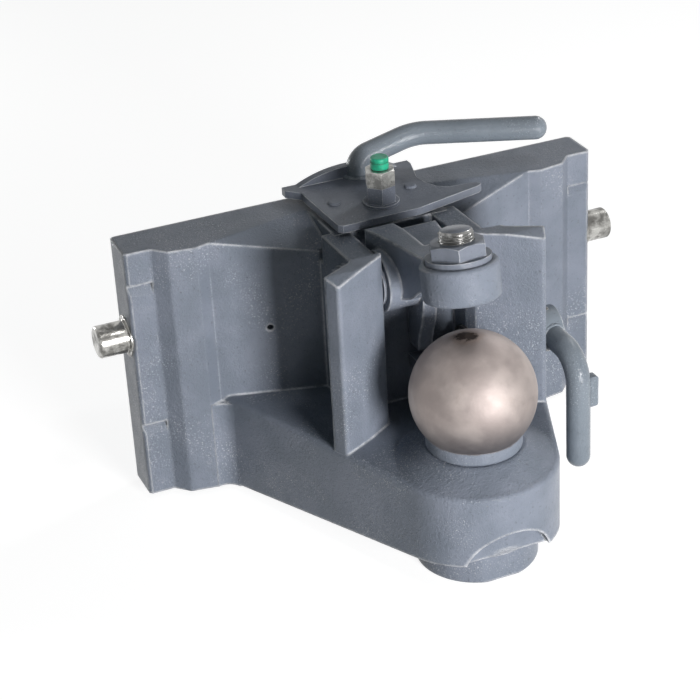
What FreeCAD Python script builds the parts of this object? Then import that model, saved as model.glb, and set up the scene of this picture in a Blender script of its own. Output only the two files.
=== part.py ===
import FreeCAD, Part
import math
import os

V = FreeCAD.Vector
os.makedirs("parts", exist_ok=True)

# Sizes in millimetres. They are laid out in the rail frame: x to the right, y to the
# tractor with 0 on the back face, z up with 0 at the foot of the rails. Every piece is
# moved to the ball frame, which has the ball's centre as its origin, when it is written.

# Clearances and shop habits that many pieces share
FIT = 0.05
RUN = 0.05
PAST = 5.0
LAP = 5.0
EDGE_ROUND = 1.5
CLIP_WIDE = 1.6
CLIP_DEEP = 1.2
CLIP_PROUD = 2.6
CLIP_MOUTH = 3.5
SIDE_PLAY = 0.1

# Rails and wings of the casting
RAIL_HALF = 169.0
RAIL_DEPTH = 30.0
RAIL_HEIGHT = 180.0
RAIL_BEVEL = 2.0
STEP_OUT = RAIL_HALF - 17.5
RAIL_ROUND = 1.8
STEP_IN = STEP_OUT - 9.0
STEP_DEPTH = RAIL_DEPTH + 9.5
STRIP_X = STEP_IN - 18.0
STRIP_DEPTH = STEP_DEPTH + 3.0
RIDGE_X = STRIP_X - 8.5
RIDGE_DEPTH = STRIP_DEPTH - 2.5
MARK_FEET = (46.5, 149.5)
MARK_TALL = 7.0
MARK_DEEP = 3.0

# Sloped facets beside the housing, and the dished pockets under them. A pocket is given
# by its depth from the back face at four places, from the ridge in to the housing.
FACET_INNER_X = 47.0
RIM_INNER_X = 40.0
FACET_TOP = 24.0
FACET_REACH = 60.5
FACET_DROP = 13.0
SHOULDER_DROP = 20.0
RIM_TALL = 50.0
POCKET_PLACES = (0.0, 0.31, 0.67, 1.0)
POCKET_MIDDLE = (37.0, 30.5, 30.0, 38.0)
POCKET_FOOT = (30.0, 21.0, 28.5, 40.0)
POCKET_MIDDLE_Z = 112.0
GREASE_HOLE_X = 81.0
GREASE_HOLE_RADIUS = 2.2

# Locking pins and the room behind the cover that holds their drive
PIN_RADIUS = 11.2
PIN_Y = -15.0
PIN_Z = 115.0
PIN_REACH = 21.0
PIN_INNER_X = 28.5
PIN_ROUND = 2.5
PIN_END_START = 2.0
PIN_END_RELIEF = 0.2
PIN_BORE = PIN_RADIUS + 0.5
BUSH_RADIUS = PIN_RADIUS + 2.5
BUSH_LONG = 20.0
BUSH_PROUD = 0.8
SPRING_HOLE_RADIUS = 6.4
SPRING_RADIUS = 5.0
SPRING_WIRE = 1.0
SPRING_SEAT_X = 68.0
SPRING_TURNS = 9
LEVER_TURN = 40.0
STROKE = 21.5
PEG_X = 34.5
PEG_RADIUS = 3.75
PEG_GAP = 0.1
PEG_PROUD = 0.5
PEG_BEVEL = 0.8
ARM_HALF = 6.5
ARM_ROUND = 4.0
ARM_LOW = PIN_Z - 6.0
ARM_HIGH = PIN_Z + PIN_RADIUS - 2.0
CAM_LOW = PIN_Z + PIN_RADIUS + 0.5
CAM_HIGH = CAM_LOW + 8.0
CAM_RADIUS = 42.5
CAM_HALF = 17.0
ROOM_HALF = 43.5
ROOM_FLOOR = PIN_Z - 16.0
ROOM_ROOF = CAM_HIGH + 1.5
ROOM_ROOF_THICK = 3.0
WEB_HALF = 5.0
COVER_THICK = 3.0
COVER_LAND = 8.0
COVER_HALF = ROOM_HALF + 10.5
COVER_FOOT = ROOM_FLOOR - COVER_LAND
COVER_HEAD = ROOM_ROOF + COVER_LAND
COVER_GAP = 0.3
COVER_ROUND = 3.0
COVER_SCREW_X = 49.0
COVER_SCREW_EDGE = 4.5
COVER_SCREW_RADIUS = 2.0
COVER_SCREW_LONG = 13.0
COVER_HEAD_RADIUS = 3.75
COVER_SOCKET = 2.5
COVER_SOCKET_DEEP = 1.5

# Depths of the housing, from the back face to the ball
LEVER_Y = PIN_Y - 40.0
DECK_FRONT = -LEVER_Y + 14.5
ROOM_FRONT = -LEVER_Y + 40.5
ROOM_WALL_FRONT = ROOM_FRONT + 5.0
PIVOT_Y = -ROOM_WALL_FRONT - 5.5
BALL_AHEAD = 79.0
BALL_Y = PIVOT_Y - BALL_AHEAD

# Ball, its stud and nut
BALL_RADIUS = 40.0
BALL_Z = 111.0
DIMPLE_RADIUS = 16.0
DIMPLE_DEEP = 0.8
COLLAR_RADIUS = 30.5
SHANK_RADIUS = 18.0
SHANK_SHY = 3.0
BALL_NUT_RADIUS = 39.5
BALL_NUT_FOOT = -4.0
BALL_NUT_FLATS = 74.0
BALL_NUT_SHOULDER = 5.0
BALL_NUT_ROOM = 1.0
LOCK_SCREW_RADIUS = 4.0
LOCK_SCREW_UP = 9.0
LOCK_SOCKET = 4.0

# Tongue and nose
TONGUE_TOP = 67.0
TONGUE_CORNER = (STEP_IN - 23.5, -RAIL_DEPTH + 1.0)
TONGUE_ROUND = 3.5
ROOT_REACH = 10.0
UNDER_START = 8.0
NOSE_RADIUS = 53.3
NOSE_FOOT = 18.5
SEAT_TOP = BALL_Z - 35.0
SEAT_RADII = (50.0, 32.0)
SCALLOP_RADIUS = 30.0
SCALLOP_ANGLE = -90.0
SCALLOP_Z = 9.0
SCALLOP_START = BALL_NUT_RADIUS + 1.5

# Keeper over the ball. Its outline is given from the pivot.
PIVOT_Z = BALL_Z + 49.0
HUB_RADIUS = 20.0
HUB_HALF = 27.0
KEEPER_TILT = 10.5
RING_RADIUS = 24.5
RING_LOW = BALL_RADIUS + 22.4
RING_HIGH = RING_LOW + 23.4
RING_ROUND = 2.5
SCREW_RADIUS = 11.0
SCREW_LOW = RING_LOW - 1.4
SCREW_HIGH = RING_HIGH + 19.7
SCREW_BEVEL = 1.4
SPOT_DEEP = 0.8
NUT_FLATS = 33.0
NUT_TURN = 8.0
NUT_LOW = RING_HIGH + 3.5
NUT_HIGH = NUT_LOW + 9.2
NUT_WASHER_RADIUS = 20.5
NUT_WASHER_PLAY = 0.6
PIVOT_RADIUS = 10.0
PIVOT_HEAD = 4.0
PIVOT_HEAD_LONG = 5.0
PIVOT_BOSS_RADIUS = 15.5
PIVOT_BOSS_X = 51.0
PIVOT_END = PIVOT_BOSS_X + 5.0
ARM_PROFILE = (
    (22.0, 15.0), (22.0, 26.7), (5.0, 29.3), (-13.0, 30.2), (-28.5, 30.5), (-44.0, 33.5), (-54.0, 34.0),
    (-54.0, 12.0), (-43.0, 8.5), (-30.0, -2.0), (-16.0, -8.0), (0.0, -12.0),
)
ARM_HALVES = ((25.0, 23.0), (22.7, 5.0), (20.0, -13.0), (17.3, -28.5), (17.0, -55.0))
ARM_STEP = ((-25.0, 40.0), (-25.0, 27.5), (-14.0, 25.0), (0.0, 21.8), (26.0, 21.8), (26.0, 40.0))
LEG_HALF = 5.0
LEG_FRONT = ((5.0, 0.0), (-22.0, -4.0), (-17.5, -28.0), (-14.0, -36.0))
LEG_BACK = (4.3, -10.0)
LEG_REACH = 50.5
TOE_GAP = 1.0
TOE_BACK = 2.0

# Latch shaft and its handle
LATCH_Y = PIVOT_Y - 12.0
LATCH_Z = PIVOT_Z - 57.0
LATCH_RADIUS = 11.0
LATCH_NECK = 8.0
LATCH_FLAT = 1.0
LATCH_FLAT_HALF = LEG_HALF + 6.0
LATCH_BOSS_RADIUS = 17.0
LATCH_BOSS_X = 57.0
LATCH_WASHER = 2.0
LATCH_WASHER_RADIUS = 16.0
LATCH_LEFT = -LEG_HALF - 3.0
LATCH_COLLAR = LATCH_RADIUS + 2.5
LATCH_SHOULDER = 79.0
LATCH_RIGHT = LATCH_SHOULDER + 14.0
LATCH_KEY_RADIUS = 2.5
LATCH_KEY_BORE = 1.3
BAR_RADIUS = 8.0
HANDLE_X = (LATCH_SHOULDER + LATCH_RIGHT) / 2.0
HANDLE_Y = LATCH_Y - 46.0
HANDLE_LEAN = 0.5
HANDLE_FOOT = 22.5
HANDLE_BEND = 20.0
HANDLE_HUB = 15.0
TAB_LOW = 66.0
TAB_HIGH = 88.0
TAB_HALF = 3.0
TAB_OUT = 5.0
TAB_ROUND = 2.0

# Cheeks and the channel between them, as far forward as the keeper and the latch need
CHANNEL_HALF = HUB_HALF + 2.0
CHEEK_LEAVE = (CHANNEL_HALF, PIVOT_Y - 10.0)
CHEEK_BEND = (CHANNEL_HALF + 3.0, PIVOT_Y - 19.5)
CHEEK_CREASE = (50.8, PIVOT_Y - 32.0)
CHEEK_TIP = (70.8, PIVOT_Y - 42.7)
CHEEK_HEEL = (75.4, PIVOT_Y - 31.5)
CHEEK_OUTER = (54.0, PIVOT_Y - 19.5)
CHEEK_ROOT_Y = PIVOT_Y - 6.0
CHEEK_CREST = ((42.0, 19.5), (-1.0, 20.5), (-6.0, 23.0), (-17.0, 28.0), (-31.0, 28.0), (-43.0, 24.5))
CHEEK_ROUND = 2.0

# Hand lever with its plate and shaft, stacked up from the deck
SHAFT_RADIUS = 8.0
SHAFT_NECK = 7.0
SHAFT_SHOULDER = CAM_HIGH
SHAFT_BUSH_RADIUS = 11.0
STUD_RADIUS = 5.0
SLIDE_OUTLINE = (
    (-33.0, -62.0), (33.0, -62.0), (33.0, -38.0), (30.0, -29.0), (-30.0, -29.0), (-33.0, -38.0),
)
PLATE_LOW = RAIL_HEIGHT + 3.3
PLATE_HIGH = PLATE_LOW + 5.2
PLATE_OUTLINE = (
    (-38.5, -73.0), (-36.0, -76.0), (-31.0, -76.0), (19.0, -74.5), (67.5, -62.0), (70.5, -59.5),
    (69.0, -56.0), (60.0, -54.8), (50.0, -54.0), (43.0, -49.0), (39.0, -40.0), (38.0, -28.0),
)
PLATE_WAIST = (-40.0, -15.0)
ARCH_RADIUS = 85.0
ARCH_LEFT = -48.0
ARCH_RIGHT = 44.0
ARCH_TOP = PLATE_HIGH + 8.0
ARCH_THICK = 6.0
RIVET_X = 27.3
RIVET_Y = -41.0
RIVET_RADIUS = 2.5
RIVET_HEAD = 4.2
RIVET_TALL = 1.6
RIVET_ROUND = 1.2
RIVET_SHY = 0.4
HEX_FLATS = 18.0
HEX_TURN = 12.0
WASHER_RADIUS = 12.0
WASHER_TOP = PLATE_HIGH + 2.0
HEX_MID = WASHER_TOP + 11.5
HEX_TOP = HEX_MID + 11.0
NIPPLE_BASE = 4.5
NIPPLE_RADIUS = 3.2
NIPPLE_ROUND = 1.2
CAP_LOW = HEX_TOP + 0.3
NIPPLE_TOP = CAP_LOW + 4.6
CAP_RADIUS = 6.0
CAP_ROUND = 1.2
CAP_GROOVE = 0.7
CAP_GROOVE_TALL = 1.0
CAP_TOP = NIPPLE_TOP + 3.1
LEVER_BENDS = (11.0, 42.0)
LEVER_PATH = (
    (4.5, -5.0, PLATE_HIGH - 2.5),
    (6.0, -5.0, PLATE_HIGH + 11.5),
    (46.0, -6.0, PLATE_HIGH + 21.5),
    (121.8, -38.8, PLATE_HIGH + 21.5),
)


def polygon(points):
    """A flat face from a ring of points."""
    return Part.Face(Part.makePolygon([V(*p) for p in points] + [V(*points[0])]))


def plan(points, low, high):
    """An outline in x and y, raised from z low to z high."""
    return polygon([(x, y, low) for x, y in points]).extrude(V(0, 0, high - low))


def side(points, left, right):
    """An outline in y and z, drawn out from x left to x right."""
    return polygon([(left, y, z) for y, z in points]).extrude(V(right - left, 0, 0))


def block(left, right, near, far, low, high):
    return Part.makeBox(right - left, far - near, high - low, V(left, near, low))


def rod(radius, start, end):
    """A round bar from one point to another."""
    start, end = V(*start), V(*end)
    return Part.makeCylinder(radius, (end - start).Length, start, end - start)


def mirrored(shape):
    return shape.mirror(V(0, 0, 0), V(1, 0, 0))


def fused(shapes):
    first = shapes[0]
    return first.fuse(shapes[1:]).removeSplitter()


def ring(outer, inner, start, end):
    return rod(outer, start, end).cut(rod(inner, start, end))


def hexagon(flats, low, high, turn=0.0):
    """A hexagonal prism standing on the z axis."""
    corner = flats / math.sqrt(3.0)
    points = []
    for k in range(6):
        angle = math.radians(60.0 * k + turn)
        points.append((corner * math.cos(angle), corner * math.sin(angle)))
    return plan(points, low, high)


def chamfered_hexagon(flats, low, high, turn=0.0, top=True, bottom=False):
    """A hexagonal prism with its corners turned off at the ends."""
    shape = hexagon(flats, low, high, turn)
    reach = flats / math.sqrt(3.0)
    slope = (reach - flats / 2.0) * 0.6
    tall = high - low
    if top:
        body = Part.makeCylinder(reach, tall - slope, V(0, 0, low))
        cap = Part.makeCone(reach, flats / 2.0 * 0.97, slope, V(0, 0, high - slope))
        shape = shape.common(body.fuse(cap))
    if bottom:
        body = Part.makeCylinder(reach, tall - slope, V(0, 0, low + slope))
        cap = Part.makeCone(flats / 2.0 * 0.97, reach, slope, V(0, 0, low))
        shape = shape.common(body.fuse(cap))
    return shape


def rounded(shape, radius, wanted):
    """Rounds the edges whose middle point the test picks."""
    edges = []
    for edge in shape.Edges:
        middle = edge.valueAt((edge.FirstParameter + edge.LastParameter) / 2.0)
        if wanted(middle, edge):
            edges.append(edge)
    return shape.makeFillet(radius, edges)


def bent_bar(path, radius, bend_radii):
    """A round bar along straight runs joined by bends, with a rounded far end."""
    points = [V(*p) for p in path]
    edges = []
    here = points[0]
    for k in range(1, len(points) - 1):
        corner = points[k]
        back = (points[k - 1] - corner).normalize()
        on = (points[k + 1] - corner).normalize()
        half = back.getAngle(on) / 2.0
        reach = bend_radii[k - 1] / math.tan(half)
        leave = corner + back * reach
        join = corner + on * reach
        mid_way = (back + on).normalize()
        middle = corner + mid_way * (bend_radii[k - 1] / math.sin(half) - bend_radii[k - 1])
        edges.append(Part.LineSegment(here, leave).toShape())
        edges.append(Part.Arc(leave, middle, join).toShape())
        here = join
    edges.append(Part.LineSegment(here, points[-1]).toShape())
    profile = Part.Wire([Part.makeCircle(radius, points[0], points[1] - points[0])])
    bar = Part.Wire(edges).makePipeShell([profile], True, False)
    return bar.fuse(Part.makeSphere(radius, points[-1]))


def along_x(shape):
    """Turns a shape that stands on the z axis so that it lies along +x."""
    turned = shape.copy()
    turned.rotate(V(0, 0, 0), V(0, 1, 0), 90.0)
    return turned


def moved(shape, x, y, z):
    shifted = shape.copy()
    shifted.translate(V(x, y, z))
    return shifted


def clip(radius, x, y, z):
    """A retaining ring round a shaft along x, open on its lower side."""
    outer = radius + CLIP_PROUD
    inner = radius - CLIP_DEEP
    shape = ring(outer, inner, (x, y, z), (x + CLIP_WIDE, y, z))
    gap = block(x - PAST, x + CLIP_WIDE + PAST, y - CLIP_MOUTH, y + CLIP_MOUTH, z - outer - PAST, z)
    return shape.cut(gap)


def clip_groove(radius, x, y, z):
    return ring(radius + PAST, radius - CLIP_DEEP, (x, y, z), (x + CLIP_WIDE, y, z))


def save(name, shape):
    """Moves a piece from the rail frame to the ball frame and writes it."""
    shape = moved(shape, 0, -BALL_Y, -BALL_Z)
    shape.exportStep("parts/" + name + ".step")


def facet_slope():
    """The wedge taken off the top of a wing beside the housing."""
    ridge = V(RIDGE_X, -RIDGE_DEPTH, RAIL_HEIGHT)
    top = V(FACET_INNER_X, -FACET_TOP, RAIL_HEIGHT)
    low = V(FACET_INNER_X, -FACET_REACH, RAIL_HEIGHT - FACET_DROP)
    high = V(FACET_INNER_X, -FACET_REACH, RAIL_HEIGHT)
    faces = []
    for a, b, c in ((ridge, top, low), (ridge, low, high), (ridge, high, top), (top, high, low)):
        faces.append(Part.Face(Part.makePolygon([a, b, c, a])))
    wedge = Part.Solid(Part.Shell(faces))
    rim = side([(-FACET_TOP, RAIL_HEIGHT), (-FACET_REACH, RAIL_HEIGHT - FACET_DROP),
                (-FACET_REACH, RAIL_HEIGHT)], RIM_INNER_X, FACET_INNER_X)
    return [wedge, rim]


def pocket():
    """The dished hollow in a wing, drawn through three curved sections."""
    along = RIDGE_X - FACET_INNER_X
    fall = FACET_REACH - RIDGE_DEPTH
    facet = [RIDGE_DEPTH + fall * place for place in POCKET_PLACES]
    sections = []
    for depths, level in ((facet, None), (POCKET_MIDDLE, POCKET_MIDDLE_Z), (POCKET_FOOT, TONGUE_TOP)):
        points = []
        for place, depth in zip(POCKET_PLACES, depths):
            z = level
            if level is None:
                z = RAIL_HEIGHT - FACET_DROP * place
            points.append(V(RIDGE_X - along * place, -depth, z))
        curve = Part.BSplineCurve()
        curve.interpolate(points)
        reach = -FACET_REACH - 2 * PAST
        rise = (points[0].z - points[-1].z) / along
        near_out = V(STRIP_X, reach, points[0].z + rise * (STRIP_X - RIDGE_X))
        near_in = V(points[-1].x, reach, points[-1].z)
        strip = V(STRIP_X, -STRIP_DEPTH, near_out.z)
        sections.append(Part.Wire([
            Part.LineSegment(near_out, strip).toShape(),
            Part.LineSegment(strip, points[0]).toShape(),
            curve.toShape(),
            Part.LineSegment(points[-1], near_in).toShape(),
            Part.LineSegment(near_in, near_out).toShape(),
        ]))
    return Part.makeLoft(sections, True, False)


def wing():
    """The right half of the stepped rail wall, with its facet and dished pocket."""
    outline = [
        (0, 0), (RAIL_HALF - RAIL_BEVEL, 0), (RAIL_HALF, -RAIL_BEVEL),
        (RAIL_HALF, -RAIL_DEPTH + RAIL_BEVEL), (RAIL_HALF - RAIL_BEVEL, -RAIL_DEPTH),
        (STEP_OUT, -RAIL_DEPTH), (STEP_IN, -STEP_DEPTH), (STRIP_X, -STRIP_DEPTH), (RIDGE_X, -RIDGE_DEPTH),
        (FACET_INNER_X, -FACET_REACH), (0, -FACET_REACH),
    ]
    body = plan(outline, 0, RAIL_HEIGHT)
    steps = (STEP_OUT, STEP_IN)
    body = rounded(body, RAIL_ROUND, lambda m, e: min(abs(m.x - x) for x in steps) < FIT and m.y < -PAST)
    marks = []
    for foot in MARK_FEET:
        marks.append(side([(-RAIL_DEPTH, foot), (-RAIL_DEPTH, foot + MARK_TALL),
                           (-RAIL_DEPTH + MARK_DEEP, foot + MARK_TALL)], STEP_OUT, RAIL_HALF + PAST))
    hollow = block(0, FACET_INNER_X, -FACET_REACH - PAST, -STRIP_DEPTH, -PAST, TONGUE_TOP - LAP)
    return body.cut(facet_slope() + [pocket(), hollow] + marks)


def nose_tangent():
    """Where the tongue's straight side meets the round nose."""
    dx, dy = TONGUE_CORNER[0], TONGUE_CORNER[1] - BALL_Y
    angle = math.atan2(dy, dx) - math.acos(NOSE_RADIUS / math.hypot(dx, dy))
    return NOSE_RADIUS * math.cos(angle), BALL_Y + NOSE_RADIUS * math.sin(angle)


def root_fillet():
    """The hollow round between the right rail and the side of the tongue."""
    tx, ty = nose_tangent()
    side_way = V(tx - TONGUE_CORNER[0], ty - TONGUE_CORNER[1], 0).normalize()
    rail_way = V(STRIP_X - RIDGE_X, RIDGE_DEPTH - STRIP_DEPTH, 0).normalize()
    share = (-RIDGE_DEPTH - TONGUE_CORNER[1]) / side_way.y
    corner = V(TONGUE_CORNER[0] + side_way.x * share, -RIDGE_DEPTH, 0)
    rail_end = corner + rail_way * ROOT_REACH
    tongue_end = corner + side_way * ROOT_REACH
    half = rail_way.getAngle(side_way) / 2.0
    inward = (rail_way + side_way).normalize()
    middle = corner + inward * (ROOT_REACH / math.cos(half) - ROOT_REACH * math.tan(half))
    inside = corner + V(0, LAP, 0)
    wire = Part.Wire([
        Part.LineSegment(inside, V(rail_end.x, inside.y, 0)).toShape(),
        Part.LineSegment(V(rail_end.x, inside.y, 0), rail_end).toShape(),
        Part.Arc(rail_end, middle, tongue_end).toShape(),
        Part.LineSegment(tongue_end, tongue_end - V(LAP, 0, 0)).toShape(),
        Part.LineSegment(tongue_end - V(LAP, 0, 0), inside).toShape(),
    ])
    return Part.Face(wire).extrude(V(0, 0, TONGUE_TOP - TONGUE_ROUND))


def tongue():
    """The tapered tongue with its round nose, conical ball seat and sloped underside."""
    tx, ty = nose_tangent()
    cx, cy = TONGUE_CORNER
    edges = [
        Part.LineSegment(V(-cx, cy, 0), V(-tx, ty, 0)).toShape(),
        Part.Arc(V(-tx, ty, 0), V(0, BALL_Y - NOSE_RADIUS, 0), V(tx, ty, 0)).toShape(),
        Part.LineSegment(V(tx, ty, 0), V(cx, cy, 0)).toShape(),
        Part.LineSegment(V(cx, cy, 0), V(-cx, cy, 0)).toShape(),
    ]
    body = Part.Face(Part.Wire(edges)).extrude(V(0, 0, TONGUE_TOP))
    body = rounded(body, TONGUE_ROUND, lambda m, e: m.z > TONGUE_TOP - FIT and m.y < cy - FIT)
    front_y = BALL_Y - NOSE_RADIUS
    under = side([(cy - UNDER_START, 0), (front_y, NOSE_FOOT), (front_y - PAST, NOSE_FOOT),
                  (front_y - PAST, -PAST), (cy - UNDER_START, -PAST)], -cx - PAST, cx + PAST)
    seat = Part.makeCone(SEAT_RADII[0], SEAT_RADII[1], SEAT_TOP - TONGUE_TOP, V(0, BALL_Y, TONGUE_TOP))
    turn = math.radians(SCALLOP_ANGLE)
    away = V(math.cos(turn), math.sin(turn), 0)
    start = V(0, BALL_Y, SCALLOP_Z) + away * SCALLOP_START
    scallop = Part.makeCylinder(SCALLOP_RADIUS, NOSE_RADIUS, start, away)
    return body.fuse(seat).cut([under, scallop])


def cheek():
    """One flared wall of the channel, with a curved crest that is highest at the bend."""
    back_y = -DECK_FRONT + LAP
    points = [
        (CHANNEL_HALF, back_y), CHEEK_LEAVE, CHEEK_BEND, CHEEK_CREASE, CHEEK_TIP, CHEEK_HEEL,
        CHEEK_OUTER, (FACET_INNER_X, CHEEK_ROOT_Y), (FACET_INNER_X, back_y),
    ]
    crest = from_pivot(CHEEK_CREST)
    top = max(z for y, z in crest) + PAST
    wall = plan(points, TONGUE_TOP - LAP, top)
    tip_y, tip_z = crest[-1][0] - PAST, crest[-1][1]
    above = [(crest[0][0], top + PAST)] + crest + [(tip_y, tip_z), (tip_y, top + PAST)]
    wall = wall.cut(side(above, 0, CHEEK_HEEL[0] + PAST))
    wall = rounded(wall, CHEEK_ROUND, lambda m, e: math.hypot(m.x - CHEEK_TIP[0], m.y - CHEEK_TIP[1]) < FIT)
    boss = rod(PIVOT_BOSS_RADIUS, (CHANNEL_HALF + LAP, PIVOT_Y, PIVOT_Z), (PIVOT_BOSS_X, PIVOT_Y, PIVOT_Z))
    return wall.fuse(boss)


def hitch_body():
    """The casting: wings, tongue, cheeks and housing, with every bore in it."""
    housing = [
        block(-FACET_INNER_X, FACET_INNER_X, -DECK_FRONT + LAP, 0,
              TONGUE_TOP - LAP, RAIL_HEIGHT - SHOULDER_DROP),
        block(-RIM_INNER_X, RIM_INNER_X, -DECK_FRONT, 0, RAIL_HEIGHT - RIM_TALL, RAIL_HEIGHT),
        block(-CHANNEL_HALF - LAP, CHANNEL_HALF + LAP, -ROOM_WALL_FRONT, -DECK_FRONT + LAP,
              TONGUE_TOP - LAP, ROOM_ROOF + ROOM_ROOF_THICK),
    ]
    half = [wing(), cheek(), root_fillet()]
    latch_boss = rod(LATCH_BOSS_RADIUS, (CHANNEL_HALF + LAP, LATCH_Y, LATCH_Z),
                     (LATCH_BOSS_X, LATCH_Y, LATCH_Z))
    body = fused(half + [mirrored(s) for s in half] + [tongue(), latch_boss] + housing)

    room = block(-ROOM_HALF, ROOM_HALF, -ROOM_FRONT, PAST, ROOM_FLOOR, ROOM_ROOF)
    web = block(-WEB_HALF, WEB_HALF, PIN_Y - PIN_RADIUS, -COVER_THICK, ROOM_FLOOR, PIN_Z + PIN_RADIUS)
    cover_seat = block(-COVER_HALF, COVER_HALF, -COVER_THICK, PAST, COVER_FOOT, COVER_HEAD)
    cuts = [room.cut(web), cover_seat]
    outside = CHEEK_HEEL[0] + PAST
    for s in (-1, 1):
        end = (s * (RAIL_HALF + PAST), PIN_Y, PIN_Z)
        cuts.append(rod(PIN_BORE, (s * (ROOM_HALF - PAST), PIN_Y, PIN_Z), end))
        cuts.append(rod(BUSH_RADIUS, (s * (RAIL_HALF - BUSH_LONG), PIN_Y, PIN_Z), end))
        hole_x = s * GREASE_HOLE_X
        cuts.append(rod(GREASE_HOLE_RADIUS, (hole_x, -FACET_REACH, PIN_Z), (hole_x, PIN_Y, PIN_Z)))
    cuts.append(rod(SHAFT_BUSH_RADIUS, (0, LEVER_Y, ROOM_ROOF - PAST), (0, LEVER_Y, RAIL_HEIGHT + PAST)))
    cuts.append(rod(PIVOT_RADIUS, (-outside, PIVOT_Y, PIVOT_Z), (outside, PIVOT_Y, PIVOT_Z)))
    cuts.append(rod(LATCH_RADIUS + RUN, (0, LATCH_Y, LATCH_Z), (outside, LATCH_Y, LATCH_Z)))
    spot = LATCH_BOSS_RADIUS + BALL_NUT_ROOM / 2
    cuts.append(rod(spot, (LATCH_BOSS_X, LATCH_Y, LATCH_Z), (outside, LATCH_Y, LATCH_Z)))
    cuts.append(rod(SHANK_RADIUS, (0, BALL_Y, -PAST), (0, BALL_Y, SEAT_TOP + PAST)))
    cuts.append(rod(BALL_NUT_RADIUS + BALL_NUT_ROOM, (0, BALL_Y, -PAST), (0, BALL_Y, nut_top())))
    for x, z in cover_screw_places():
        cuts.append(rod(COVER_SCREW_RADIUS, (x, 0, z), (x, -COVER_SCREW_LONG - FIT, z)))
    return body.cut(cuts).removeSplitter()


def nut_top():
    """Height of the flat that the ball's nut is drawn up against."""
    return NOSE_FOOT + EDGE_ROUND


def ball_stud():
    """The ball with its collar and shank, turned from one piece, dimpled on top."""
    ball = Part.makeSphere(BALL_RADIUS, V(0, BALL_Y, BALL_Z))
    ball = ball.cut(rod(BALL_RADIUS, (0, BALL_Y, SEAT_TOP - BALL_RADIUS), (0, BALL_Y, SEAT_TOP)))
    dimple_z = BALL_Z + BALL_RADIUS + DIMPLE_RADIUS - DIMPLE_DEEP
    dimple = Part.makeSphere(DIMPLE_RADIUS, V(0, BALL_Y, dimple_z))
    collar = rod(COLLAR_RADIUS, (0, BALL_Y, SEAT_TOP), (0, BALL_Y, BALL_Z - BALL_RADIUS / 2))
    collar = rounded(collar, EDGE_ROUND, lambda m, e: m.z < SEAT_TOP + FIT)
    shank = rod(SHANK_RADIUS, (0, BALL_Y, BALL_NUT_FOOT + SHANK_SHY), (0, BALL_Y, SEAT_TOP + LAP))
    return fused([ball, collar, shank]).cut(dimple)


def ball_nut():
    """The round nut under the nose, with spanner flats and a locking screw's hole."""
    body = Part.makeCylinder(BALL_NUT_RADIUS, nut_top() - BALL_NUT_FOOT, V(0, 0, BALL_NUT_FOOT))
    body = rounded(body, EDGE_ROUND, lambda m, e: m.z < BALL_NUT_FOOT + FIT)
    body = body.cut(Part.makeCylinder(SHANK_RADIUS, BALL_Z, V(0, 0, BALL_NUT_FOOT - PAST)))
    wide, shoulder = 2 * BALL_NUT_RADIUS, nut_top() - BALL_NUT_SHOULDER
    for k in range(3):
        flat = block(-wide, wide, BALL_NUT_FLATS / 2, wide, BALL_NUT_FOOT - PAST, shoulder)
        flat.rotate(V(0, 0, 0), V(0, 0, 1), SCALLOP_ANGLE - 90.0 + 120.0 * k)
        body = body.cut(flat)
    body = body.cut(lock_screw_shape())
    return moved(body, 0, BALL_Y, 0)


def lock_screw_out():
    """Which way the nut's locking screw points."""
    turn = math.radians(SCALLOP_ANGLE + 120.0)
    return V(math.cos(turn), math.sin(turn), 0)


def lock_screw_shape():
    """A set screw through one flat of the ball's nut, down to the shank."""
    out = lock_screw_out()
    foot = V(0, 0, BALL_NUT_FOOT + LOCK_SCREW_UP) + out * SHANK_RADIUS
    return Part.makeCylinder(LOCK_SCREW_RADIUS, BALL_NUT_FLATS / 2 - SHANK_RADIUS, foot, out)


def lock_screw():
    socket = along_x(hexagon(LOCK_SOCKET, 0, LOCK_SOCKET + PAST))
    socket.rotate(V(0, 0, 0), V(0, 0, 1), SCALLOP_ANGLE + 120.0)
    end = V(0, 0, BALL_NUT_FOOT + LOCK_SCREW_UP) + lock_screw_out() * (BALL_NUT_FLATS / 2 - LOCK_SOCKET)
    return moved(lock_screw_shape().cut(moved(socket, end.x, end.y, end.z)), 0, BALL_Y, 0)


def cover_screw_places():
    places = []
    for x in (-COVER_SCREW_X, 0.0, COVER_SCREW_X):
        for z in (COVER_FOOT + COVER_SCREW_EDGE, COVER_HEAD - COVER_SCREW_EDGE):
            places.append((x, z))
    return places


def screw_head(x, z):
    slope = COVER_HEAD_RADIUS - COVER_SCREW_RADIUS
    return Part.makeCone(COVER_HEAD_RADIUS, COVER_SCREW_RADIUS, slope, V(x, 0, z), V(0, -1, 0))


def back_cover():
    """The plate that closes the cam room at the back, with countersunk holes."""
    low, high = COVER_FOOT + COVER_GAP, COVER_HEAD - COVER_GAP
    wide = COVER_HALF - COVER_GAP
    plate = block(-wide, wide, -COVER_THICK, 0, low, high)
    plate = rounded(plate, COVER_ROUND, lambda m, e: abs(m.x) > wide - FIT
                    and abs(m.y + COVER_THICK / 2) < FIT and min(m.z - low, high - m.z) < FIT)
    for x, z in cover_screw_places():
        plate = plate.cut([screw_head(x, z), rod(COVER_SCREW_RADIUS, (x, 0, z), (x, -COVER_SCREW_LONG, z))])
    return plate


def cover_screws():
    screws = []
    for x, z in cover_screw_places():
        socket = hexagon(COVER_SOCKET, -COVER_SOCKET_DEEP, COVER_SOCKET_DEEP)
        socket.rotate(V(0, 0, 0), V(1, 0, 0), 90.0)
        screw = screw_head(x, z).fuse(rod(COVER_SCREW_RADIUS, (x, -FIT, z), (x, -COVER_SCREW_LONG, z)))
        screws.append(screw.cut(moved(socket, x, 0, z)))
    return Part.makeCompound(screws)


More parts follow.
